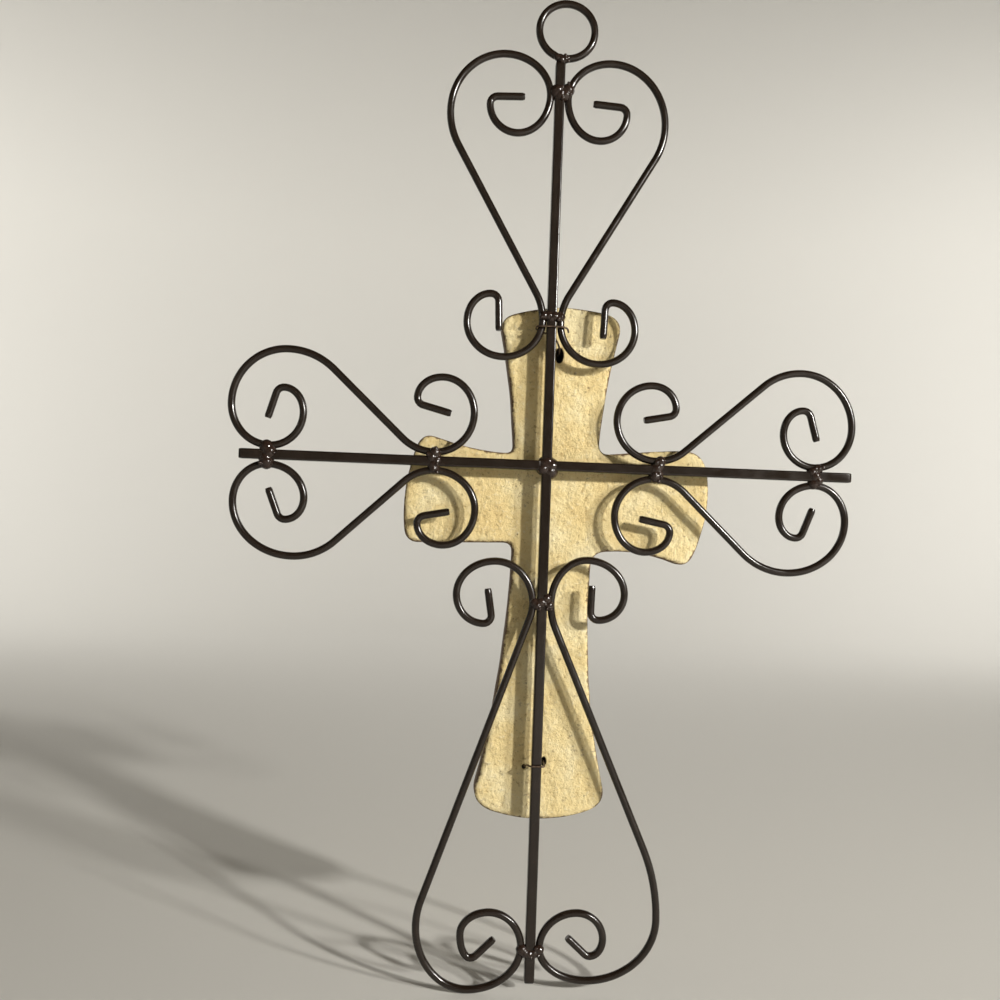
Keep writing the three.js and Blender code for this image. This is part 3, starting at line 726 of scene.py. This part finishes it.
def clay_mesh(name, draw):
    """The clay cross: uneven, softly rounded, pitted behind, plainer in front."""
    outline = clay_outline(CLAY_SPACING)
    into = inward(outline)
    count = len(outline)
    rounding = np.array([
        CLAY_ROUNDING * (0.8 + 0.35 * noise.noise(Vector((p[0] / 17, p[1] / 17, 3.0)))) for p in outline
    ])
    rounding = np.clip(rounding, 2.2, CLAY_ROUNDING)
    rows = []
    quarter = [math.pi / 2 * i / RIM_ROWS for i in range(RIM_ROWS + 1)]
    for angle in quarter:
        rows.append((rounding * (1 - math.sin(angle)), CLAY_BACK - rounding * (1 - math.cos(angle))))
    front = CLAY_BACK - CLAY_THICKNESS
    for i in range(1, SIDE_ROWS):
        share = i / SIDE_ROWS
        rows.append((0 * rounding, (CLAY_BACK - rounding) * (1 - share) + (front + rounding) * share))
    for angle in reversed(quarter):
        rows.append((rounding * (1 - math.sin(angle)), front + rounding * (1 - math.cos(angle))))

    points, faces = [], []
    for inset, depth in rows:
        flat = outline + into * inset[:, None]
        points.append(np.stack([flat[:, 0], depth, flat[:, 1]], axis=1))
    for row in range(len(rows) - 1):
        for i in range(count):
            j = (i + 1) % count
            faces.append((row * count + i, row * count + j, (row + 1) * count + j, (row + 1) * count + i))

    holes = []
    for x, z, half_width, half_height in CLAY_HOLES:
        turns = np.linspace(0, 2 * math.pi, 20, endpoint=False)
        holes.append(np.stack([x + half_width * np.cos(turns), z + half_height * np.sin(turns)], axis=1))
    total = len(rows) * count

    back_loop = points[0][:, [0, 2]]
    grid, triangles = fill(back_loop, holes, CLAY_SPACING)
    hole_starts, mouth = [], np.vstack(holes)
    points.append(np.stack([mouth[:, 0], np.full(len(mouth), CLAY_BACK), mouth[:, 1]], axis=1))
    points.append(np.stack([grid[:, 0], np.full(len(grid), CLAY_BACK), grid[:, 1]], axis=1))
    faces += np.where(triangles < count, triangles, total - count + triangles)[:, ::-1].tolist()
    start = total
    total += len(mouth) + len(grid)
    for hole in holes:
        hole_starts.append((start, len(hole), hole))
        start += len(hole)
    back_range = (len(rows) * count, total)

    front_loop = points[len(rows) - 1][:, [0, 2]]
    grid, triangles = fill(front_loop, [], CLAY_SPACING * 1.4)
    points.append(np.stack([grid[:, 0], np.full(len(grid), front), grid[:, 1]], axis=1))
    last_row = (len(rows) - 1) * count
    faces += np.where(triangles < count, triangles + last_row, total - count + triangles).tolist()
    front_range = (total, total + len(grid))
    total += len(grid)

    hole_first = total
    for start, size, hole in hole_starts:
        centre = hole.mean(axis=0)
        previous = [start + i for i in range(size)]
        for share in (0.06, 0.3, 0.65, 1.0):
            ring = centre + (hole - centre) * (0.92 - 0.25 * share)
            points.append(np.stack([ring[:, 0], np.full(size, CLAY_BACK - HOLE_DEPTH * share), ring[:, 1]], axis=1))
            here = [total + i for i in range(size)]
            faces += [
                (previous[i], here[i], here[(i + 1) % size], previous[(i + 1) % size]) for i in range(size)
            ]
            previous = here
            total += size
        faces.append(tuple(reversed(previous)))

    points = np.vstack(points)
    # The rim share rises over the rounded edges to the sides: worn brown clay there, and also painted shade along the
    # sides.
    rim_wear_and_shade = np.clip(np.minimum(CLAY_BACK - points[:, 1], points[:, 1] - front) / CLAY_ROUNDING, 0, 1)
    tree = kdtree.KDTree(count)
    for i, p in enumerate(outline):
        tree.insert((p[0], p[1], 0), i)
    tree.balance()
    to_edge = np.array([tree.find((p[0], p[2], 0))[2] for p in points])
    pits = np.zeros(len(points))
    # The walls of the wire holes are marked for painted shade, nearly black in the paint.
    hole_wall_shade = np.zeros(len(points))
    hole_wall_shade[hole_first:] = 1

    # Pits in the back, where bubbles and grit left the skin open, and a few dents from the making
    back = np.arange(*back_range)
    flat = points[back][:, [0, 2]]
    sink = np.zeros(len(back))
    scattered = [
        (draw.uniform(-100, 90), draw.uniform(-222, 104), draw.uniform(0.7, 1.4), draw.uniform(0.15, 0.45))
        for _ in range(150)
    ]
    for x, z, wide, deep in CLAY_MARKS + scattered:
        away = np.hypot(flat[:, 0] - x, flat[:, 1] - z) / wide
        hit = np.clip(1 - away, 0, 1) ** 0.7
        sink = np.maximum(sink, deep * hit)
        pits[back] = np.maximum(pits[back], hit * draw.uniform(0.2, 1.0))
    points[back, 1] -= sink

    # The front is slightly crowned, so its middle stands out and its rim falls back
    front_points = np.arange(*front_range)
    points[front_points, 1] += 1.0 * np.exp(-to_edge[front_points] / 9)

    # Hand forming leaves the whole slab a little uneven
    for wave, height in ((60, 0.5), (19, 0.22), (6, 0.07)):
        for i, p in enumerate(points):
            points[i] += np.array(noise.noise_vector(Vector(p) / wave)) * height
    points[:, 1] = np.clip(points[:, 1], front + 0.05, None)

    mesh = mesh_from(name, points, [], faces)
    mesh.shade_smooth()
    mesh.attributes.new("rim_wear_and_shade", "FLOAT", "POINT").data.foreach_set("value", rim_wear_and_shade.astype(np.float32))
    mesh.attributes.new("hole", "FLOAT", "POINT").data.foreach_set("value", hole_wall_shade.astype(np.float32))
    mesh.attributes.new("pit", "FLOAT", "POINT").data.foreach_set("value", pits.astype(np.float32))
    return mesh


# --- the pieces ---

cream_paint = brushed_cream_paint()
brown_paint = satin_brown_paint("satin_brown_paint_on_steel", "#1f1711", "#2a2019", 0.19, 0.18)
weld_paint = satin_brown_paint("satin_brown_paint_on_weld", "#2b1f19", "#3d2f27", 0.15, 0.25)
wire_finish = dark_annealed_wire()

clay = clay_mesh("clay_cross_painted", random.Random(SEED))
clay.materials.append(cream_paint)
stand_in_place("clay_cross_painted", clay, "clay_cross")

round_stock = stock_tree("round_stock", square=False)
square_stock = stock_tree("square_stock", square=True)
rod_settings = {
    "Size": ROD * MM, "Edge": 0.0, "Step": 1.6 * MM, "End Ease": 0.8 * MM, "End Size": 0.8, "Unevenness": 0.12 * MM,
    "Material": brown_paint,
}
for name in SCROLLS:
    mesh = sweep(name + "_rod", scroll_path(name), round_stock, rod_settings)
    stand_in_place(name + "_rod", mesh, name)
ring = sweep("hanging_ring_rod", ring_path(), round_stock, rod_settings)
stand_in_place("hanging_ring_rod", ring, "hanging_ring")

bar_settings = rod_settings | {
    "Size": BAR * MM, "Edge": BAR_EDGE * MM, "Step": 1.5 * MM, "End Ease": 0.5 * MM, "End Size": 0.93,
    "Unevenness": 0.1 * MM,
}
for node in ("upright_bar", "arm_bar_left", "arm_bar_right"):
    low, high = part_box(node)
    middle = (low + high) / 2
    upright = high.z - low.z > high.x - low.x
    ends = [Vector((middle.x, middle.y, z)) for z in (low.z, high.z)] if upright else [
        Vector((x, middle.y, middle.z)) for x in (low.x, high.x)]
    path = [(end - CROSSING) / MM for end in ends]
    mesh = sweep(node + "_steel", path, square_stock, bar_settings, flat_sided=True)
    stand_in_place(node + "_steel", mesh, node)

wire_settings = rod_settings | {
    "Size": WIRE * MM, "Step": 0.7 * MM, "End Ease": 0.3 * MM, "Unevenness": 0.08 * MM, "Material": wire_finish,
}
for node, knots in TIE_WIRES.items():
    mesh = sweep(node + "_bent", smooth_path(knots, 120), round_stock, wire_settings)
    stand_in_place(node + "_bent", mesh, node)

beads = bead_tree()
bead_settings = {"Grain": 0.35 * MM, "Roughness": 0.3 * MM, "Material": weld_paint}
for i, node in enumerate(sorted(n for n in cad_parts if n.startswith("weld_"))):
    lumps = bead_lumps(node + "_lumps", node, random.Random(SEED + i))
    mesh = run_tree(node + "_bead", lumps, beads, bead_settings)
    stand_in_place(node + "_bead", mesh, node)


# --- studio ---

CAMERA_PLACE = (0.0772, 0.6352, -0.3443)
CAMERA_HEADING = math.radians(176)
CAMERA_RISE = math.radians(92)
CAMERA_ROLL = math.radians(2.08)

camera = bpy.data.objects.new("camera", bpy.data.cameras.new("camera"))
camera.data.sensor_width = 36
camera.data.lens = 36
camera.data.clip_start = 0.01
turned = Matrix.Rotation(CAMERA_HEADING, 4, "Z") @ Matrix.Rotation(CAMERA_RISE, 4, "X")
camera.matrix_world = Matrix.Translation(CAMERA_PLACE) @ turned @ Matrix.Rotation(CAMERA_ROLL, 4, "Z")
bpy.context.scene.collection.objects.link(camera)
bpy.context.scene.camera = camera


def studio_floor():
    """A pale floor that sweeps up into a round wall far behind everything."""
    profile = [(0.0, 0.0), (2.4, 0.0)]
    profile += [(2.4 + 1.6 * math.sin(a), 1.6 - 1.6 * math.cos(a)) for a in np.linspace(0.1, math.pi / 2, 14)]
    profile.append((4.0, 3.0))
    around = 96
    points, faces = [(0, 0, 0)], []
    for radius, height in profile[1:]:
        points += [
            (radius * math.cos(2 * math.pi * i / around), radius * math.sin(2 * math.pi * i / around), height)
            for i in range(around)
        ]
    faces += [(0, 1 + i, 1 + (i + 1) % around) for i in range(around)]
    for row in range(len(profile) - 2):
        first = 1 + row * around
        faces += [
            (first + i, first + around + i, first + around + (i + 1) % around, first + (i + 1) % around)
            for i in range(around)
        ]
    mesh = bpy.data.meshes.new("studio_floor")
    lowest = cad_box[0].z
    mesh.from_pydata([(x, y, z + lowest) for x, y, z in points], [], faces)
    mesh.shade_smooth()
    material, tree, surface, _ = new_material("pale_matt_floor")
    surface.inputs["Base Color"].default_value = linear("#dcdad4")
    surface.inputs["Roughness"].default_value = 0.9
    mesh.materials.append(material)
    floor = bpy.data.objects.new("studio_floor", mesh)
    bpy.context.scene.collection.objects.link(floor)


MIDDLE = (cad_box[0] + cad_box[1]) / 2
BACKDROP = Vector((0, -4, 0.5))


def lamp(name, target, direction, distance, size, power, colour):
    """A square lamp that shines on a target from a direction."""
    light = bpy.data.lights.new(name, "AREA")
    light.size = size
    light.energy = power
    light.color = linear(colour)[:3]
    holder = bpy.data.objects.new(name, light)
    towards = Vector(direction).normalized()
    holder.matrix_world = Matrix.Translation(target + towards * distance) @ towards.to_track_quat("Z", "Y").to_matrix().to_4x4()
    bpy.context.scene.collection.objects.link(holder)


studio_floor()
lamp("main_lamp", MIDDLE, (-0.88, 1, 0.44), 2.4, 0.13, 46, "#fffcf6")
lamp("second_lamp", MIDDLE, (-1.28, 1, 0.44), 2.4, 0.15, 28, "#fffcf6")
lamp("backdrop_lamp_left", BACKDROP, (0.65, 0.75, 0.12), 3.1, 1.2, 30, "#fffefc")
lamp("backdrop_lamp_right", BACKDROP, (-0.65, 0.75, 0.12), 3.1, 1.2, 30, "#fffefc")
world = bpy.data.worlds.new("studio_air")
bpy.context.scene.world = world
world.use_nodes = True
air = world.node_tree.nodes["Background"]
air.inputs["Color"].default_value = linear("#f2d3a0")
air.inputs["Strength"].default_value = 0.03
bpy.context.scene.view_settings.view_transform = "Standard"
